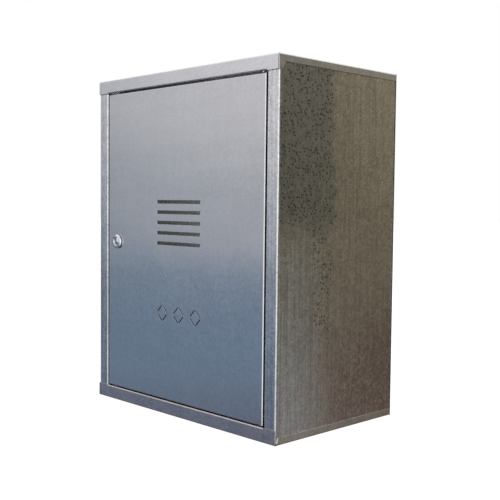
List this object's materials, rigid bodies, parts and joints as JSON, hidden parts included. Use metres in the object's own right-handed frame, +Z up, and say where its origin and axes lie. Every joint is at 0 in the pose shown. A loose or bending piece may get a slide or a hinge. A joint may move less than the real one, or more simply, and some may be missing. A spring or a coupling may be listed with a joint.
{
  "type": "sheet metal utility meter cabinet",
  "caption": "Galvanised sheet-steel wall cabinet with a hinged, vented door, a quarter-turn cam lock and pipe entries in the base.",
  "frame": {"origin": "centre of the flat underside of the base", "axes": "+Z up, the door faces -Y, +Y points to the wall, +X to the right of someone facing the door"},
  "size_m": [0.4, 0.25, 0.505],
  "materials": {
    "galvanised_sheet": "bare galvanised sheet, satin, with fine spangle and faint rolling lines",
    "door_sheet": "bare galvanised sheet, satin, with faint rolling lines",
    "zinc_plated": "bright zinc plate",
    "nylon": "black nylon",
    "black_plastic": "moulded black plastic",
    "lock_chrome": "polished chrome plate",
    "gasket_rubber": "moulded black rubber"
  },
  "bodies": {
    "cabinet": {"top_cover": "galvanised_sheet", "bottom_tray": "galvanised_sheet", "left_side": "galvanised_sheet", "right_side": "galvanised_sheet", "back_panel": "galvanised_sheet", "upper_hinge_plate": "galvanised_sheet", "lower_hinge_plate": "galvanised_sheet", "upper_hinge_pin": "zinc_plated", "upper_pin_clip": "zinc_plated", "lower_hinge_pin": "zinc_plated", "hinge_washer": "nylon", "left_pipe_bush": "black_plastic", "right_pipe_bush": "black_plastic"},
    "door": {"door_panel": "door_sheet", "upper_hinge_bush": "nylon", "lower_hinge_bush": "nylon", "lock_body": "lock_chrome", "lock_gasket": "gasket_rubber", "lock_washer": "zinc_plated", "lock_nut": "zinc_plated"},
    "lock_rotor": {"lock_core": "lock_chrome", "lock_cam": "zinc_plated", "cam_washer": "zinc_plated", "cam_screw": "zinc_plated"}
  },
  "joints": [
    {"name": "door_hinge", "type": "hinge", "parent": "cabinet", "child": "door", "pos_m": [0.165, -0.1165, 0.2525], "axis": [0, 0, 1], "range_deg": [0, 120]},
    {"name": "lock_turn", "type": "hinge", "parent": "door", "child": "lock_rotor", "pos_m": [-0.15, -0.1225, 0.252], "axis": [0, 1, 0], "range_deg": [0, 90]}
  ]
}
